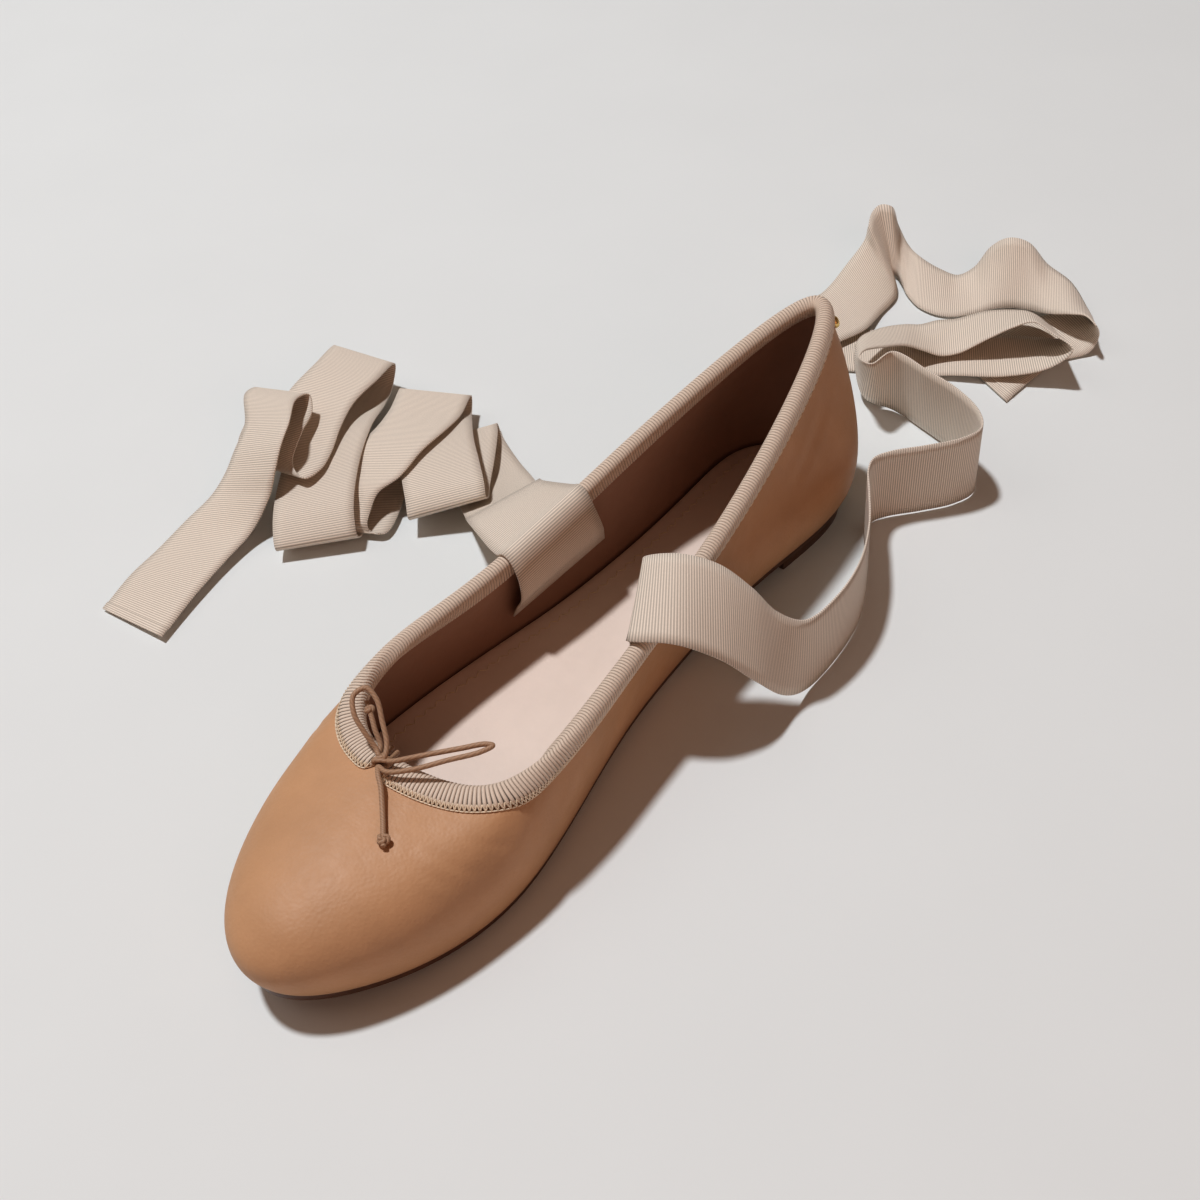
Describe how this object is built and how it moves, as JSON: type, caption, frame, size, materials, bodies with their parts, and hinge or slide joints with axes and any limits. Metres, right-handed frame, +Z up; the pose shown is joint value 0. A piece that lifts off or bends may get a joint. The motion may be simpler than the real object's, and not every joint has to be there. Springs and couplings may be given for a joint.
{
  "type": "lace-up ballet flat",
  "caption": "Right lace-up ballet flat in tan leather, with ribbed binding, a small cord bow and long ribbon ties.",
  "frame": {"origin": "on the floor, under the middle of the shoe's box without its ties and bow", "axes": "+X to the toe, +Y to the inner (arch) side, +Z up"},
  "size_m": [0.3737, 0.2174, 0.0642],
  "materials": {
    "sole_leather": "burnished",
    "sock_leather": "satin",
    "upper_leather": "soft satin grain",
    "binding_tape": "ribbed weave",
    "bow_cord": "fine woven cord",
    "ribbon": "ribbed weave",
    "gilt_metal": "polished"
  },
  "bodies": {
    "root": {"outsole": "sole_leather", "heel": "sole_leather", "insole": "sock_leather", "upper": "upper_leather", "collar_binding": "binding_tape", "heel_stud": "gilt_metal", "bow_knot": "bow_cord", "bow_loop_outer": "bow_cord", "bow_loop_inner": "bow_cord", "bow_tail_outer": "bow_cord", "bow_tail_inner": "bow_cord", "bow_end_outer": "bow_cord", "bow_end_inner": "bow_cord", "tie_outer": "ribbon", "tie_inner": "ribbon"}
  },
  "joints": []
}
